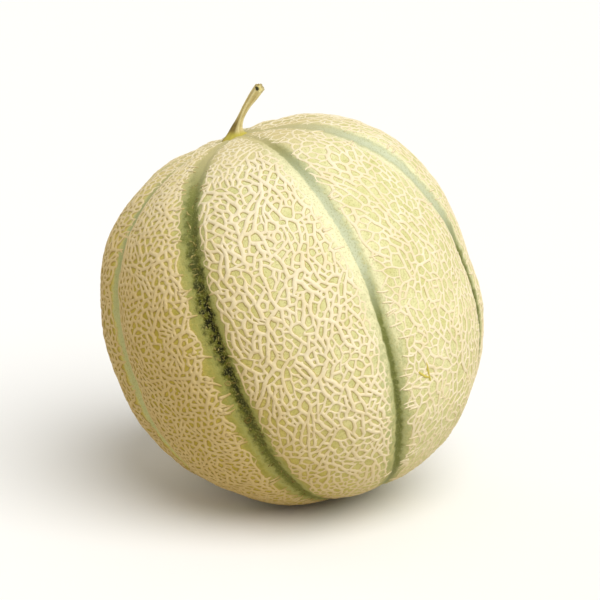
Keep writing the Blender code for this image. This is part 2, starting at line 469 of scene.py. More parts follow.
def rindSkin(group, side):
    # pale under the net, olive in the bare bands, green beside the seams and dark along their lines
    material, tree, shader = newMaterial("rindSkin", 0.6, 0.12)
    tint = {name: rgb(*colour) for name, colour in skinColours.items()}
    noise = noiseIn(tree, group, 2.6, 0.6)
    broad = noiseIn(tree, group, 9.0, 1.2)
    blotches, grain = noise.outputs["Blotches"], noise.outputs["Grain"]
    distance = attribute(tree, "fromSeam")
    line = attribute(tree, "lineWidth")
    tone = attribute(tree, "lineTone")
    reach = attribute(tree, "greenReach")

    # under the net, and bare
    underNet = mixed(tree, "under the net", tint["under"], tint["underDarker"], broad.outputs["Blotches"])
    underNet = mixed(tree, "mottled", underNet, tint["underMottles"], times(tree, blotches, 0.4))
    underNet = mixed(tree, "beige by the stem", underNet, tint["byStem"], attribute(tree, "nearStem"))
    bare = mixed(tree, "bare band", tint["bare"], tint["bareOlive"], attribute(tree, "olive"))
    mottled = mapRange(tree, attribute(tree, "olive"), 0, 0.6, 0.1, 0.6)
    mottled = times(tree, mapRange(tree, blotches, 0.2, 0.8), mottled)
    bare = mixed(tree, "mottled band", bare, tint["bareMottles"], mottled)
    cover = attribute(tree, "netCover")
    base = mixed(tree, "net or bare", bare, underNet, cover)
    # painted shade on the left and low side, stronger under the net than on the bare bands
    shadeTint = mixed(tree, "painted shade of net or bare", skinShadeTints["bare"], skinShadeTints["underNet"], cover)
    base = paintShade(tree, side, base, shadeTint)

    # the green beside the seam; its edge and the line's wander with the noise
    wander = worked(tree, "ADD", times(tree, worked(tree, "SUBTRACT", blotches, 0.5), 2.4),
                    times(tree, worked(tree, "SUBTRACT", grain, 0.5), 0.5))
    wander = times(tree, wander, mapRange(tree, line, 0.6, 2.6, 0.3, 1.0))
    shifted = worked(tree, "ADD", distance, wander)
    band = mapRange(tree, worked(tree, "DIVIDE", shifted, reach), 1.1, 0.5)
    green = mixed(tree, "green band", tint["green"], tint["greenDeep"], tone)
    mottled = times(tree, broad.outputs["Grain"], 0.65)
    green = mixed(tree, "mottled green", green, tint["greenMottles"], mottled)
    base = mixed(tree, "green", base, green, times(tree, band, 0.85))
    specks = mapRange(tree, grain, 0.5, 0.95)
    base = mixed(tree, "specks", base, tint["specks"], times(tree, specks, 0.42))

    # the line itself: the first half of its tone makes it greener, and the second nearly black
    acrossLine = worked(tree, "DIVIDE", shifted, line)
    core = mapRange(tree, acrossLine, 1.65, 0.45)
    fine = noiseIn(tree, group, 2.1, 0.6, 2.5)
    dark = mixed(tree, "line, pale", tint["line"], tint["lineDeep"], times(tree, tone, 2.0, True))
    deep = worked(tree, "SUBTRACT", times(tree, tone, 2.0), 1.0, True)
    paler = worked(tree, "ADD", fine.outputs["Blotches"], times(tree, acrossLine, 0.45))
    paler = mapRange(tree, paler, 0.45, 1.15)
    deepest = mixed(tree, "deepest", tint["lineDeepest"], tint["lineDeepestPaler"], paler)
    dark = mixed(tree, "line, deep", dark, deepest, deep)
    flecks = times(tree, mapRange(tree, fine.outputs["Grain"], 0.58, 0.88), 0.5)
    dark = mixed(tree, "line, flecks", dark, tint["lineFlecks"], flecks)
    base = mixed(tree, "line", base, dark, core)
    warm = times(tree, attribute(tree, "nearStem"), 0.6)
    base = mixed(tree, "warmer by the stem", base, tint["warmByStem"], warm)
    # painted shade once more over the whole skin on the left and low side
    base = paintShade(tree, side, base, skinShadeTints["all"])
    colourAndBumps(tree, shader, base, noise, 0.25 * mm, 0.7)
    return material


# cork, from 0 to 255, as (tops of the strands, the same in blotches, where they leave the skin); the last is
# darker partly by painted shade in the crease
corkColours = {
    "net": ((243, 234, 206), (234, 221, 184), (182, 165, 86)),
    "crumb": ((184, 176, 118), (156, 148, 84), (120, 112, 52)),
    "twig": ((212, 200, 92), (186, 172, 66), (160, 144, 50)),
}
corkGrain = (214, 190, 138)
corkShadeTint = (0.70, 0.60, 0.38)  # what the painted shade on the left and low side multiplies it by


def cork(kind, group, side):
    # dry cork: pale on the tops of the strands, darker where they leave the skin, partly its own tone and
    # partly painted shade
    material, tree, shader = newMaterial(f"{kind}Cork", 0.7, 0.25)
    noise = noiseIn(tree, group, 8.0, 0.4)
    pale, blotched, root = [rgb(*colour) for colour in corkColours[kind]]
    top = mixed(tree, "cork tone", pale, blotched, noise.outputs["Blotches"])
    top = mixed(tree, "cork grain", top, rgb(*corkGrain), times(tree, noise.outputs["Grain"], 0.25))
    # the darker root colour at the foot of each strand is partly painted shade
    base = mixed(tree, "root to top", root, top, mapRange(tree, attribute(tree, "rise"), 0.1, 0.8))
    # painted shade on the left and low side
    base = paintShade(tree, side, base, corkShadeTint)
    colourAndBumps(tree, shader, base, noise, 0.12 * mm, 0.5)
    return material


# the dried stem's colours, from 0 to 255: each of the last four is laid over by the attribute of its name
stemColours = {
    # the pale of the ridges carries a painted highlight on the right side, the brown a painted shade on the
    # left, and the pit is painted shade for a hollow in the pith
    "skin": (190, 172, 108), "ridges": (240, 230, 176), "blotches": (160, 134, 76),
    "brownAndShade": (100, 84, 26), "collar": (186, 174, 74), "pith": (206, 192, 122), "pitShade": (40, 40, 8),
}


def driedStem(group):
    # tan skin, paler on its ridges and on its lit right side with a painted highlight, brown on its left
    # partly from drying and partly painted shade, a mustard collar and a pale pith with a dark pit of painted
    # shade
    material, tree, shader = newMaterial("driedStem", 0.7, 0.3)
    tint = {name: rgb(*colour) for name, colour in stemColours.items()}
    noise = noiseIn(tree, group, 1.8, 0.35)
    # paler on the ridges and on the lit right side: partly a painted highlight
    skin = mixed(tree, "stem tone", tint["skin"], tint["ridges"], attribute(tree, "ridge"))
    # brown on the left side: partly painted shade
    skin = mixed(tree, "brownAndShade", skin, tint["brownAndShade"], attribute(tree, "brownAndShade"))
    skin = mixed(tree, "stem blotches", skin, tint["blotches"], times(tree, noise.outputs["Blotches"], 0.4))
    # the pit is painted shade for a hollow in the pith
    for name in ("collar", "pith", "pitShade"):
        skin = mixed(tree, name, skin, tint[name], attribute(tree, name))
    colourAndBumps(tree, shader, skin, noise, 0.15 * mm, 0.6)
    return material


def makeRind(material):
    columns = rind["columnsPerRib"] * len(seams)
    clearSelection()
    bpy.ops.mesh.primitive_uv_sphere_add(segments=columns, ring_count=rind["rings"], radius=1)
    obj = bpy.context.object
    obj.name = obj.data.name = "rind"
    co = meshPoints(obj)
    latitude = np.arcsin(np.clip(co[:, 2], -1, 1))
    turn = (np.arctan2(co[:, 0], -co[:, 1]) / (2 * np.pi) % 1) * len(seams)
    nearest = np.round(turn * rind["columnsPerRib"]) / rind["columnsPerRib"]
    turn = nearest % len(seams)
    rib = np.floor(turn + 1e-6).astype(int)
    share = turn - rib
    share = share - rind["crowding"] * np.sin(2 * np.pi * share)
    points = onFruit(rib, share, latitude, np.zeros(len(co)))
    points[:, 2] = np.maximum(points[:, 2], rind["restHeight"])
    obj.data.vertices.foreach_set("co", points.ravel())
    width = ribWidth(rib, latitude)
    fromLeft, fromRight = share * width, (1 - share) * width
    leftNearer = fromLeft <= fromRight
    seam = np.where(leftNearer, rib, rib + 1)
    setAttribute(obj, "fromSeam", np.minimum(fromLeft, fromRight))
    setAttribute(obj, "lineTone", alongSeam(seam, "tone", latitude))
    for name, kind in (("lineWidth", "line"), ("greenReach", "green")):
        beside = [alongSeam(seam, kind + side, latitude) for side in ("Right", "Left")]
        setAttribute(obj, name, np.where(leftNearer, *beside))
    setAttribute(obj, "olive", alongSeam(seam, "olive", latitude))
    setAttribute(obj, "netCover", netCover(rib, share, latitude))
    setAttribute(obj, "nearStem", ramp(np.degrees(latitude), *rind["tanByStem"]))
    obj.data.shade_smooth()
    obj.data.update()
    addPiece(obj, "melon_fruit", material)


# the net of cork strands, in millimetres
net = {
    "cellWidth": (2.5, 2.75, 3.3, 3.0, 3.1, 3.1, 3.1, 3.1, 3.1, 3.3),  # on each rib
    "cellStretch": (0.95, 1.18, 1.15, 1.2, 1.2, 1.2, 1.1, 1.2, 1.1, 0.8),  # longer towards the ends
    "relief": (0.9, 1.0, 0.55, 0.55, 1.0, 0.8, 0.9, 1.0, 0.85, 0.9),
    "width": (1.0, 1.0, 0.84, 0.75, 1.0, 0.9, 1.0, 1.0, 0.9, 1.0),
    # how much the longest lines run from end to end
    "lengthways": (0.10, 0.24, 0.25, 0.3, 0.35, 0.3, 0.2, 0.35, 0.2, 0.0),
    # the straight runs that make a strand
    "piece": (0.66, 0.60, 0.66, 0.8, 1.0, 1.0, 1.0, 1.0, 1.0, 0.8),
    "finerNearStem": 0.94,
    # towards the stem (1) and the blossom end (-1): how much less, from which latitude, over how many degrees
    "thinner": ((1, 0.40, 48, 25), (-1, 0.28, 32, 30)),
    "flatter": ((-1, 0.6, 28, 32), (1, 0.7, 50, 22)),
    "thinnerAtBorder": 0.38,
    "jitter": 0.31,
    "chance": 0.25,  # in which two strands at a corner become one line
    "bend": 0.05,
    "shaken": 0.08,
    "missing": 0.04,  # the share of cells that are left out, so that their neighbours grow
    "rounded": 0.18,  # how far each corner is drawn between its neighbours
    "borderRounded": 0.5,  # the same for the outer corners of the border
    "straightened": 0.28,  # how far each pair of strands is drawn into one line
    "ropeWidth": 0.70,  # half of a strand's width, along the rib
    "linkWidth": 0.57,  # the same, across it
    "widthSpread": 0.23,
    "heightPerWidth": 0.46,
    "webbing": 1.15,  # how much wider a strand is where it meets others
    "broken": 0.16,  # the share of links that stop halfway
    "ragged": 1.1,  # unevenness of the border
    "footOut": 1.25,  # where a strand's foot meets the skin, in its half widths
    "rootBelow": 0.13,
    "keelBelow": 0.70,
}


def netSeeds(rib, rng):
    # the middles of the cells, row by row from the blossom end to the stem
    seeds = []
    y = -girth * math.radians(86)
    row = 0
    while y < girth * math.radians(84):
        latitude = y / girth
        fine = 1 - (1 - net["finerNearStem"]) * float(ramp(math.degrees(latitude), 45, 30))
        cell = net["cellWidth"][rib] * fine
        step = cell * net["cellStretch"][rib] * 0.87
        width = float(ribWidth(rib, np.float64(latitude)))
        count = max(2, round(width / cell))
        for k in range(-1, count + 2):
            share = (k + 0.5 * (row % 2)) / count
            x = (share - 0.5) * width + rng.normal() * net["jitter"] * cell
            seeds.append((x, y + rng.normal() * net["jitter"] * step))
        y += step
        row += 1
    keep = rng.random(len(seeds)) > net["missing"]
    return np.array(seeds)[keep]


def netPlan(rib, rng):
    # corners joined by strands, and for every cell the ring of corners round it
    stretch = net["cellStretch"][rib]
    flat = [Vector((x, y / stretch)) for x, y in netSeeds(rib, rng)]
    spots, _, triangles, *_ = geometry.delaunay_2d_cdt(flat, [], [], 0, 1e-6)
    spots = np.array([(p.x, p.y * stretch) for p in spots])
    triangles = [t for t in triangles if len(t) == 3]
    corners = spots[np.array(triangles)].mean(axis=1)
    sides, around = {}, {}
    for t, tri in enumerate(triangles):
        for a, b in ((0, 1), (1, 2), (2, 0)):
            sides.setdefault((min(tri[a], tri[b]), max(tri[a], tri[b])), []).append(t)
        for a in tri:
            around.setdefault(a, []).append(t)
    strands = {}
    for pair in sides.values():
        if len(pair) == 2:
            strands[(min(pair), max(pair))] = len(strands)
    outlines = []
    for spot, tris in around.items():
        angle = np.arctan2(corners[tris, 1] - spots[spot, 1], corners[tris, 0] - spots[spot, 0])
        tris = [tris[k] for k in np.argsort(angle)]
        keys = [(min(a, b), max(a, b)) for a, b in zip(tris, tris[1:] + tris[:1])]
        if len(tris) > 2 and all(key in strands for key in keys):
            outlines.append((tris, [strands[key] for key in keys]))
    return corners, np.array(list(strands)), outlines


def drawIntoRopes(corners, ends, lengthways, rng):
    # at each corner two of its three strands become one line, and the third ends on it
    meeting = [[] for _ in corners]
    for e, (a, b) in enumerate(ends):
        meeting[a].append((e, b))
        meeting[b].append((e, a))
    through = []
    rope = np.arange(len(ends))
    # the lines run from end to end, but across by the stem
    high = ramp(corners[:, 1] * mm / fruit["girthRadius"], 0.75, 0.3)
    towards = lengthways - 0.7 * high

    def root(e):
        while rope[e] != e:
            rope[e] = rope[rope[e]]
            e = rope[e]
        return e

    for c, near in enumerate(meeting):
        if len(near) != 3:
            continue
        ways = [corners[other] - corners[c] for _, other in near]
        ways = [way / max(np.linalg.norm(way), 1e-6) for way in ways]
        best = None
        for i, j in ((0, 1), (1, 2), (2, 0)):
            score = -ways[i] @ ways[j] + towards[c] * (abs(ways[i][1]) + abs(ways[j][1]))
            score += net["chance"] * rng.random()
            if best is None or score > best[0]:
                best = (score, i, j)
        _, i, j = best
        through.append((c, near[i][1], near[j][1]))
        rope[root(near[i][0])] = root(near[j][0])
    for _ in range(2):
        middle = np.array([corners[[other for _, other in near]].mean(axis=0) for near in meeting])
        corners += net["rounded"] * (middle - corners)
    c, a, b = np.array(through).T
    for _ in range(2):
        span = corners[b] - corners[a]
        at = np.einsum("ij,ij->i", corners[c] - corners[a], span)
        at = at / np.maximum(np.einsum("ij,ij->i", span, span), 1e-9)
        target = corners[a] + span * np.clip(at, 0.25, 0.75)[:, None]
        corners[c] += net["straightened"] * (target - corners[c])
    return np.array([root(e) for e in range(len(ends))])


def makeNet(rib, material):
    rng = np.random.default_rng(draws["net"] + rib)
    cell = net["cellWidth"][rib]
    corners, ends, outlines = netPlan(rib, rng)
    rope = drawIntoRopes(corners, ends, net["lengthways"][rib], rng)

    def depthInside(xy, wander):
        # how far a place lies inside the net's border on its left and its right
        latitude = np.clip(xy[:, 1] / girth, -1.54, 1.54)
        width = ribWidth(rib, latitude)
        left = xy[:, 0] + width / 2 - alongSeam(rib, "bareRight", latitude) + wander
        right = width / 2 - xy[:, 0] - alongSeam(rib + 1, "bareLeft", latitude) + wander
        return left, right

    middles = np.array([corners[tris].mean(axis=0) for tris, _ in outlines])
    left, right = depthInside(middles, rng.normal(size=len(middles)) * net["ragged"])
    whole = np.zeros(len(corners), bool)
    present = np.zeros(len(ends), bool)
    for (tris, edges), inside in zip(outlines, np.minimum(left, right) > 0.3 * cell):
        if inside:
            whole[tris] = True
            present[edges] = True

    # the outer corners of the border are rounded off
    kept = np.zeros(len(corners), int)
    pull = np.zeros_like(corners)
    for here, there in ((0, 1), (1, 0)):
        np.add.at(kept, ends[present, here], 1)
        np.add.at(pull, ends[present, here], corners[ends[present, there]])
    outer = kept == 2
    corners[outer] += net["borderRounded"] * (pull[outer] / 2 - corners[outer])
    onBorder = whole & (kept < 3)

    # each strand's width, height and run
    first, last = corners[ends[:, 0]], corners[ends[:, 1]]
    run = last - first
    length = np.linalg.norm(run, axis=1)
    lengthways = ramp(np.abs(run[:, 1]) / np.maximum(length, 1e-6), 0.3, 0.5)
    ropeLength = np.bincount(rope, minlength=len(ends))[rope]
    thick = np.exp(net["widthSpread"] * rng.normal(size=len(ends)))[rope]
    thick = thick * (0.82 + 0.05 * np.minimum(ropeLength, 6))  # long ropes are the thickest
    thick = np.clip(thick * rng.uniform(0.9, 1.1, len(ends)), 0.6, 1.55)
    halfWidth = net["linkWidth"] + (net["ropeWidth"] - net["linkWidth"]) * lengthways
    halfWidth = halfWidth * thick * net["width"][rib]
    degrees = np.degrees((first[:, 1] + last[:, 1]) / 2 / girth)
    for end, less, begin, over in net["thinner"]:
        halfWidth *= 1 - less * ramp(end * degrees, begin, over)
    left, right = depthInside((first + last) / 2, 0)
    byBorder = 1 - net["thinnerAtBorder"] * (1 - smoothStep(np.minimum(left, right) / 3.2))
    halfWidth *= byBorder
    relief = net["relief"][rib]
    for end, less, begin, over in net["flatter"]:
        relief = relief * (1 - less * ramp(end * degrees, begin, over))
    top = (0.1 + net["heightPerWidth"] * halfWidth) * relief * byBorder * rng.uniform(0.92, 1.08, len(ends))
    broken = present & (rng.random(len(ends)) < net["broken"]) & (ropeLength < 4) & (lengthways < 0.8)
    bend = rng.normal(size=len(ends)) * net["bend"]
    pieces = np.clip(np.round(length / net["piece"][rib]).astype(int), 1, 6)
    start = len(corners) + np.concatenate([[0], np.cumsum(pieces - 1)[:-1]])

    cornerTop = np.full(len(corners), 0.2)
    for end in (0, 1):
        np.maximum.at(cornerTop, ends[:, end], np.where(present, top, 0.2))
    line, level, height = [corners], [whole.astype(float)], [cornerTop]
    for e in np.nonzero(pieces > 1)[0]:
        share = np.arange(1, pieces[e]) / pieces[e]
        if not present[e]:  # so that a strand's side doesn't run on into a thorn
            share = share**2 if whole[ends[e, 0]] else 1 - (1 - share) ** 2
        sideways = np.array([-run[e, 1], run[e, 0]])
        bow = bend[e] * 4 * share * (1 - share)
        shaken = rng.normal(size=(len(share), 2)) * net["shaken"]
        line.append(first[e] + run[e] * share[:, None] + sideways * bow[:, None] + shaken)
        here = np.full(len(share), 1.0 if present[e] else 0.0)
        if broken[e]:
            here = np.minimum(1, np.abs(share - rng.uniform(0.3, 0.7)) / 0.45)
            here[np.argmin(here)] = 0
        level.append(np.clip(here, 0, 1))
        height.append(top[e] * rng.uniform(0.93, 1.05, len(share)))
    line, level, height = np.concatenate(line), np.concatenate(level), np.concatenate(height)
    left, right = depthInside(line, cell * 0.6)
    tone = np.ones(len(line))
    for depth, side, seam in ((left, 1, rib), (right, 0, rib + 1)):
        level = level * smoothStep(depth / (lookOf(seam, "fades")[side] + 0.6 * cell))
        tone = tone * (1 - lookOf(seam, "dusk") * (1 - smoothStep(depth / 3.6)))

    keel = len(line)
    count = 2 * keel
    low = -net["rootBelow"]
    plane = [line, line]
    above = [height * level + low * 0.6 * (1 - level), np.full(keel, -net["keelBelow"])]
    rise = [tone, np.zeros(keel)]
    faces = []
    loose = {}
    for tris, edges in outlines:
        if not whole[tris].any():
            continue
        ring, width = [], []
        for t, e in zip(tris, edges):
            between = list(range(start[e], start[e] + pieces[e] - 1))
            if t != ends[e, 0]:
                between.reverse()
            ring += [t, *between]
            width += [halfWidth[e]] * pieces[e]
        ring, width = np.array(ring), np.array(width)
        n = len(ring)
        at = line[ring]
        width = (width + np.roll(width, 1)) / 2 * np.where(ring < len(corners), net["webbing"], 1)
        along = np.roll(at, -1, 0) - np.roll(at, 1, 0)
        inward = unit(np.stack([-along[:, 1], along[:, 0]], axis=1))
        inward = unit(inward + 0.4 * (np.roll(inward, 1, 0) + np.roll(inward, -1, 0)))
        room = np.maximum(np.einsum("ij,ij->i", at.mean(axis=0) - at, inward), 0.1)
        mix = level[ring]
        width = width * (0.35 + 0.65 * mix)
        shells = []
        for out, most, up in ((0.58, 0.5, 0.84), (net["footOut"], 0.82, None)):
            shell = at + inward * np.minimum(width * out, room * most)[:, None]
            for _ in range(2 if up is None else 1):  # this rounds the hole in the middle of the cell
                smooth = (np.roll(shell, 1, 0) + np.roll(shell, -1, 0)) / 2
                shell = shell + (smooth - shell) * 0.5
            shells.append(range(count, count + n))
            plane.append(shell)
            above.append(np.full(n, low) if up is None else height[ring] * up * mix + low * (1 - mix))
            # the feet of the strands get the darker root colour, partly painted shade
            rise.append(np.zeros(n) if up is None else 0.85 * tone[ring])
            count += n
        bands = [list(ring), *map(list, shells), [keel + k for k in ring]]
        for outer, inner in zip(bands, bands[1:]):
            for k in range(n):
                after = (k + 1) % n
                faces.append((outer[k], outer[after], inner[after], inner[k]))
        for k in range(n):
            a, b = int(ring[k]), int(ring[(k + 1) % n])
            if loose.pop((b, a), None) is None:
                loose[(a, b)] = True
    for a, b in loose:  # strands that have a cell on one side only are closed off
        faces.append((keel + a, keel + b, b, a))
    plane, above, rise = np.concatenate(plane), np.concatenate(above), np.concatenate(rise)
    latitude = np.clip(plane[:, 1] / girth, -1.55, 1.55)
    share = plane[:, 0] / ribWidth(rib, latitude) + 0.5
    points = onFruit(rib, share, latitude, above * mm)
    # where the fruit rests, the net is pressed flat
    points[:, 2] = np.maximum(points[:, 2], np.where(above > -net["rootBelow"], 0.0, 0.05 * mm))
    used = np.zeros(len(points), bool)
    used[[v for face in faces for v in face]] = True
    number = np.cumsum(used) - 1
    faces = [tuple(int(number[v]) for v in face) for face in faces]
    obj = meshFrom(f"net_{rib + 1}", points[used], faces)
    setAttribute(obj, "rise", rise[used])
    addPiece(obj, None, material)
    return corners[onBorder]


# crumbs of cork down in the dark seams, in millimetres
crumbs = {
    "each": 90,  # in one seam
    "rings": 2,  # how many of them are closed rings
    "spread": 2.2,  # to either side of the seam
    "latitudes": (-50, 58),
    "rise": (0.1, 0.7),
    "thickness": (0.18, 0.30),
    "length": (0.7, 1.9),
    "sides": 5,
}


def tube(line, thick, sides, closed=False, height=0.8):
    # rings of places along a line on the skin, as (across, along, above), and the faces between them
    nodes = len(line)
    ahead = np.roll(line, -1, 0) - np.roll(line, 1, 0) if closed else np.gradient(line, axis=0)
    ahead = unit(ahead)
    normal = np.stack([-ahead[:, 1], ahead[:, 0]], axis=1)
    turn = 2 * np.pi * np.arange(sides) / sides
    place = [(*(line[n] + normal[n] * math.cos(t) * thick[n]), thick[n] * (height * math.sin(t) + 0.2))
             for n in range(nodes) for t in turn]
    faces = []
    for n in range(nodes if closed else nodes - 1):
        here, there = n * sides, (n + 1) % nodes * sides
        for i in range(sides):
            j = (i + 1) % sides
            faces.append((here + i, here + j, there + j, there + i))
    if not closed:
        last = (nodes - 1) * sides
        faces.append(tuple(range(sides - 1, -1, -1)))
        faces.append(tuple(range(last, last + sides)))
    return place, faces


def tubesOnFruit(name, tubes, seamOf, rise, material):
    # every tube's places are measured from its own seam
    place, faces, seam, shade = [], [], [], []
    for (points, sides), k, r in zip(tubes, seamOf, rise):
        first = len(place)
        place += points
        faces += [tuple(first + v for v in face) for face in sides]
        seam += [k] * len(points)
        shade += list(np.repeat(r, len(points) // np.size(r)))
    place, seam = np.array(place), np.array(seam)
    latitude = place[:, 1] / girth
    share = place[:, 0] / ribWidth(seam, latitude)
    points = onFruit(seam, share, latitude, place[:, 2] * mm)
    points[:, 2] = np.maximum(points[:, 2], 0)
    obj = meshFrom(name, points, faces)
    setAttribute(obj, "rise", shade)
    addPiece(obj, None, material)


# thin strands that reach out of the net over the bare bands like the teeth of a comb, in millimetres
combs = {
    "length": (0.8, 2.4),  # a shorter one is left out
    "thickness": (0.48, 0.72),
    "tip": 0.55,
    "slope": 0.16,
    "curl": 0.45,
    "startInside": 2.4,
    "highest": 1.2,  # the latitude, in radians, past which there are none
    "height": 0.62,  # per half width
    "rise": 0.62,  # at the tip: tanner than the net
    "sides": 5,
}


def addCombs(borders, material):
    rng = np.random.default_rng(draws["combs"])
    tubes, seamOf, rise = [], [], []
    for rib, corners in enumerate(borders):
        for x, y in corners:
            latitude = y / girth
            toRight = x > 0
            seam = (rib + toRight) % len(seams)
            chance, length = rng.random(), rng.uniform(*combs["length"])
            thick, slope = rng.uniform(*combs["thickness"]), rng.normal() * combs["slope"]
            curl = rng.normal() * combs["curl"]
            away = float(ribWidth(rib, latitude)) / 2 - abs(x)
            line = float(alongSeam(seam, "lineLeft" if toRight else "lineRight", latitude))
            length = min(length, away - line)
            rare = chance > lookOf(seam, "combs")[0 if toRight else 1]
            if rare or length < combs["length"][0] or abs(latitude) > combs["highest"]:
                continue
            share = np.linspace(0, 1, 6)
            out = -combs["startInside"] + (length + combs["startInside"]) * share
            across = (away - out) * (-1 if toRight else 1)
            along = y + slope * out + curl * share**2 * length
            thick = thick * net["width"][rib] * (1 - (1 - combs["tip"]) * share**1.5)
            path = np.stack([across, along], axis=1)
            tubes.append(tube(path, thick * 0.9, combs["sides"], height=combs["height"]))
            seamOf.append(seam)
            rise.append((1 - (1 - combs["rise"]) * share) * (1 - 0.8 * lookOf(seam, "dusk") * share))
    tubesOnFruit("net_combs", tubes, seamOf, rise, material)


def addCrumbs(material):
    rng = np.random.default_rng(draws["crumbs"])
    tubes, seamOf = [], []
    for seam in [k for k, s in enumerate(seams) if s[0] == "dark"]:
        for k in range(crumbs["each"]):
            closed = k < crumbs["rings"]
            thick = rng.uniform(*crumbs["thickness"])
            if closed:
                turn = 2 * np.pi * np.arange(9) / 9
                line = np.stack([np.cos(turn), 0.8 * np.sin(turn)], 1) * rng.uniform(0.8, 1.2)
                line += rng.normal(size=line.shape) * 0.12
                full = np.ones(9)
            else:
                heading = rng.uniform(0, np.pi) + np.cumsum(rng.normal(size=5) * 0.45)
                line = np.cumsum(np.stack([np.cos(heading), np.sin(heading)], 1), axis=0)
                line = (line - line.mean(axis=0)) * rng.uniform(*crumbs["length"]) / 4
                full = np.array([0.4, 0.85, 1.0, 0.85, 0.4])
            across = rng.uniform(-1, 1) * crumbs["spread"]
            line += (across, girth * math.radians(rng.uniform(*crumbs["latitudes"])))
            tubes.append(tube(line, thick * full, crumbs["sides"], closed))
            seamOf.append(seam)
    tubesOnFruit("seam_crumbs", tubes, seamOf, rng.uniform(*crumbs["rise"], len(tubes)), material)


# a forked yellow strand low on the right rib: (millimetres from the seam on its left, latitude in degrees)
twig = {
    "seam": 2,
    "stalk": ((13.6, -15.6), (13.8, -17.5), (13.9, -19.4), (14.2, -21.8)),
    "branch": ((9.6, -17.4), (11.0, -18.8), (12.7, -20.1), (13.9, -20.6)),
    "thickness": 0.45,
}


def addTwig(material):
    tubes = []
    for name in ("stalk", "branch"):
        bends = np.array([(x, girth * math.radians(y)) for x, y in twig[name]])
        share = np.linspace(0, len(bends) - 1, 10)
        line = np.stack([np.interp(share, np.arange(len(bends)), bends[:, k]) for k in (0, 1)], axis=1)
        full = 0.45 + 0.55 * np.sin(np.pi * np.linspace(0.08, 0.92, len(line)))
        tubes.append(tube(line, twig["thickness"] * full, 8))
    tubesOnFruit("yellow_twig", tubes, [twig["seam"]] * 2, [1.0, 0.8], material)


# the scar at the blossom end, in millimetres
scar = {
    "radius": 4.6,
    "height": 0.5,
    "hollow": 0.35,
    "sunk": 0.9,  # how far its underside lies in the skin
    "insets": 6,
    "sides": 48,
}


def addScar(material):
    obj = startDisc("blossom_scar", scar["sides"], scar["radius"])
    bpy.ops.mesh.extrude_region_move(TRANSFORM_OT_translate={"value": (0, 0, 1)})
    for _ in range(scar["insets"]):
        bpy.ops.mesh.inset(thickness=scar["radius"] / (scar["insets"] + 1.5))
    faceOutwards()
    co = meshPoints(obj)
    reach = np.hypot(co[:, 0], co[:, 1]) / scar["radius"]
    longitude = np.arctan2(co[:, 0], -co[:, 1])
    uneven = 1 + 0.10 * np.sin(3 * longitude) + 0.06 * np.sin(7 * longitude + 1)
    rim = np.exp(-(((reach - 0.72) / 0.2) ** 2)) * scar["height"]
    rim = rim - scar["hollow"] * np.exp(-((reach / 0.4) ** 2))
    tops = rim * (1 + 0.2 * np.sin(9 * longitude)) - 0.35 * (reach > 0.98)
    above = np.where(co[:, 2] > 0.5, tops, -scar["sunk"]) * mm
    latitude = -np.pi / 2 + reach * uneven * scar["radius"] * mm / fruit["girthRadius"]
    radius = skinRadius(latitude, longitude, np.full(len(co), 10 * mm)) + above
    points = layDown(radius[:, None] * direction(latitude, longitude))
    obj.data.vertices.foreach_set("co", points.ravel())
    # the hollow in the middle takes more of the darker root colour, partly painted shade
    setAttribute(obj, "rise", np.clip(0.4 + rim, 0, 1))
    editAll()
    faceOutwards()
    obj.data.shade_smooth()
    addPiece(obj, None, material)


# the dried stem, in millimetres
stem = {
    "footAt": (-1.0, -1.2, -1.6),  # from where the axis meets the plain fruit: sunk a little into the skin
    "footRadius": 6.2,
    "neckRadius": 0.88,
    "endRadius": 1.8,
    "flareLength": 2.9,
    "swellStart": 0.42,
    "sides": 60,
    "rings": 46,
    # right, back, up from the foot
    "path": ((0.7, 0, 3.4), (1.6, 0, 6.0), (2.9, 0.1, 8.9),
             (4.5, 0, 11.9), (6.8, -0.3, 15.2), (9.5, -1.0, 19.0)),
    # the cut end, a rim round the pith: insets as (how wide, how far up)
    "cut": ((0.14, -0.12), (0.12, -0.30), (0.30, 0.10), (0.25, 0.05)),
    "ridges": 5,
    "ridgeHeight": 0.09,
    "slant": 0.6,
}


def pathPoint(points, share):
    ends = np.concatenate([[2 * points[0] - points[1]], points, [2 * points[-1] - points[-2]]])
    along = share * (len(points) - 1)
    step = min(int(along), len(points) - 2)
    t = along - step
    a, b, c, d = ends[step : step + 4]
    return (2 * b + (c - a) * t + (2 * a - 5 * b + 4 * c - d) * t**2 + (3 * b - a - 3 * c + d) * t**3) / 2


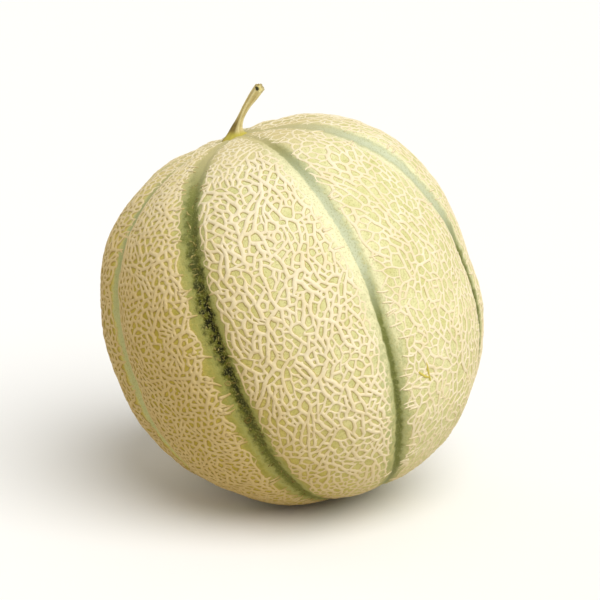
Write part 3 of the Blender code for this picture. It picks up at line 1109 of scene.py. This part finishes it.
def makeStem(material):
    lift = float(plainRadius(np.float64(math.pi / 2), np.float64(0)))
    axis = layDown(np.array([[0, 0, 1.0]]))[0] - layDown(np.zeros((1, 3)))[0]
    foot = np.array(fruit["centre"]) + axis * lift + np.array(stem["footAt"]) * mm
    path = np.array([foot, *(foot + np.array(p) * mm for p in stem["path"])])
    rings = stem["rings"]
    obj = startDisc("stem_dried", stem["sides"], 1)
    for _ in range(rings):
        bpy.ops.mesh.extrude_region_move(TRANSFORM_OT_translate={"value": (0, 0, 1)})
    for thickness, sink in stem["cut"]:
        bpy.ops.mesh.inset(thickness=thickness)
        bpy.ops.transform.translate(value=(0, 0, sink))
    faceOutwards()
    co = meshPoints(obj)
    angle = np.arctan2(co[:, 1], co[:, 0])
    reach = np.hypot(co[:, 0], co[:, 1])
    capped = co[:, 2] > rings - 0.99
    inner = capped & (reach < 0.99)
    up = np.where(inner, rings, co[:, 2])
    shares = (np.clip(up, 0, rings) / rings) ** 1.5
    dense = np.linspace(0, 1, 200)
    line = np.array([pathPoint(path, s) for s in dense])
    lengths = np.concatenate([[0], np.cumsum(np.linalg.norm(np.diff(line, axis=0), axis=1))])
    along = np.interp(shares, dense, lengths)
    middle = np.stack([np.interp(shares, dense, line[:, k]) for k in range(3)], axis=1)
    ahead = unit(np.gradient(line, axis=0))
    ahead = np.stack([np.interp(shares, dense, ahead[:, k]) for k in range(3)], axis=1)
    turned = np.clip(along / (2 * stem["flareLength"] * mm), 0, 1)[:, None]
    ahead = unit(axis * (1 - turned) + ahead * turned)
    across = unit(np.cross(np.array([0, 1.0, 0]), ahead))
    back = np.cross(ahead, across)
    flare = (stem["footRadius"] - stem["neckRadius"]) * np.exp(-along / mm / stem["flareLength"])
    swell = ramp(shares, stem["swellStart"], 1 - stem["swellStart"])
    radius = stem["neckRadius"] + flare + (stem["endRadius"] - stem["neckRadius"]) * swell
    twist = angle + 0.8 * shares
    ridge = np.cos(stem["ridges"] * twist) + 0.35 * np.cos(13 * twist + 3 * shares)
    rough = stem["ridgeHeight"] * ridge * np.where(inner, 0.4, 1) + 0.05 * np.sin(9 * twist - 14 * shares)
    radius = radius * (1 + rough) * np.minimum(reach, 1) * mm
    outward = np.cos(angle)[:, None] * across + np.sin(angle)[:, None] * back
    points = middle + radius[:, None] * outward
    # the end is cut on the slant, so that its pith looks forwards
    slant = ramp(shares, 0.86, 0.14) * stem["slant"] * np.sin(angle) * radius
    points += ahead * (np.where(inner, (co[:, 2] - rings) * 1.2 * mm, 0) + slant)[:, None]
    obj.data.vertices.foreach_set("co", points.ravel())
    upTheStem = 0.45 + 0.55 * smoothStep(shares / 0.5)
    # paler on the ridges and on the right side that faces the key light: the ridges' own pale tone with a
    # painted highlight
    setAttribute(obj, "ridge", np.clip(0.55 + 0.4 * ridge + 0.3 * np.cos(angle), 0, 1) * upTheStem)
    # brown low on the left, away from the key light, partly painted shade, and a browner rim round the cut
    leftSide = smoothStep(0.5 - 0.9 * np.cos(angle)) * smoothStep((0.62 - shares) / 0.4)
    cutRim = np.where(shares > 0.985, ramp(reach, 0.6, 0.25), 0.0)
    setAttribute(obj, "brownAndShade", np.maximum(leftSide * 0.95, cutRim * 0.5))
    front = smoothStep(0.3 - np.sin(angle - 0.4))
    setAttribute(obj, "collar", front * smoothStep((0.17 - shares) / 0.10))
    setAttribute(obj, "pith", np.where(inner & (reach < 0.7), 1.0, 0.0))
    # a dark spot in the pith: painted shade for a hollow that the mesh doesn't have
    pitShadeAt = np.hypot(reach * np.cos(angle) + 0.45, reach * np.sin(angle) + 0.35)
    setAttribute(obj, "pitShade", np.where(inner, smoothStep((0.72 - pitShadeAt) / 0.3), 0.0))
    obj.data.shade_smooth()
    obj.data.update()
    addPiece(obj, "stem", material)


# the view, taken from the photograph's 600 by 600 frame
view = {
    "elevation": math.radians(13.3),
    "distance": 0.56,
    "pixelsPerMetre": 2600,  # at the fruit's middle
    "frame": 600,
    "sensor": 36,
    "right": 0.00102,  # where the fruit's middle lies in the view
    "up": -0.00415,
}


def addCamera():
    lift = view["elevation"]
    right = Vector((1, 0, 0))
    up = Vector((0, math.sin(lift), math.cos(lift)))
    back = Vector((0, -math.cos(lift), math.sin(lift)))
    data = bpy.data.cameras.new("camera")
    data.sensor_width = view["sensor"]
    data.lens = view["sensor"] * view["pixelsPerMetre"] * view["distance"] / view["frame"]
    data.clip_start = 0.01
    data.clip_end = 60
    camera = newObject("camera", data)
    target = Vector(fruit["centre"]) - view["right"] * right - view["up"] * up
    camera.location = target + view["distance"] * back
    camera.rotation_euler = (math.pi / 2 - lift, 0, 0)
    bpy.context.scene.camera = camera


studio = {
    "floorSeen": (0.93, 0.93, 0.92),
    "floorBounce": (0.74, 0.69, 0.59),  # what the floor throws back onto the fruit
    "sky": 0.42,
    "skyColour": (1, 0.96, 0.88),
    "behind": (0.94, 0.92, 0.88),  # what lies beyond the floor
    # each light as (name, where it comes from, strength, how wide it is in degrees)
    "lights": (("key", (0.38, -0.53, 0.80), 2.74, 52),
               ("rim", (-0.72, 0.68, 0.08), 1.0, 36)),
}


def addStudio():
    clearSelection()
    bpy.ops.mesh.primitive_plane_add(size=40)
    floor = bpy.context.object
    floor.name = "floor"
    material, tree, shader = newMaterial("floor", 0.8, 0.1)
    path = tree.nodes.new("ShaderNodeLightPath")
    seen = path.outputs["Is Camera Ray"]
    seen = mixed(tree, "seen or bounced", studio["floorBounce"], studio["floorSeen"], seen)
    tree.links.new(seen, shader.inputs["Base Color"])
    floor.data.materials.append(material)
    world = bpy.data.worlds.new("studio")
    world.use_nodes = True
    world.node_tree.nodes["Background"].inputs["Color"].default_value = (*studio["skyColour"], 1)
    world.node_tree.nodes["Background"].inputs["Strength"].default_value = studio["sky"]
    bpy.context.scene.world = world
    tree = world.node_tree
    behind = tree.nodes.new("ShaderNodeBackground")
    behind.inputs["Color"].default_value = (*studio["behind"], 1)
    path = tree.nodes.new("ShaderNodeLightPath")
    either = tree.nodes.new("ShaderNodeMixShader")
    tree.links.new(path.outputs["Is Camera Ray"], either.inputs[0])
    tree.links.new(tree.nodes["Background"].outputs[0], either.inputs[1])
    tree.links.new(behind.outputs[0], either.inputs[2])
    tree.links.new(either.outputs[0], tree.nodes["World Output"].inputs["Surface"])
    for name, comesFrom, strength, wide in studio["lights"]:
        sun = bpy.data.lights.new(name, "SUN")
        sun.energy = strength
        sun.angle = math.radians(wide)
        light = newObject(name, sun)
        light.location = Vector(comesFrom)
        light.rotation_euler = Vector(comesFrom).to_track_quat("Z", "Y").to_euler()
    bpy.context.scene.view_settings.view_transform = "Standard"


print("materials")
noiseGroup = grownNoise()
sideGroup = shadedSide()
skinMaterial = rindSkin(noiseGroup, sideGroup)
corkMaterial = cork("net", noiseGroup, sideGroup)
stemMaterial = driedStem(noiseGroup)
print("rind")
makeRind(skinMaterial)
print("net")
borders = [makeNet(rib, corkMaterial) for rib in range(len(seams))]
addCombs(borders, corkMaterial)
addCrumbs(cork("crumb", noiseGroup, sideGroup))
addTwig(cork("twig", noiseGroup, sideGroup))
addScar(corkMaterial)
print("stem")
makeStem(stemMaterial)
print("studio")
addStudio()
addCamera()
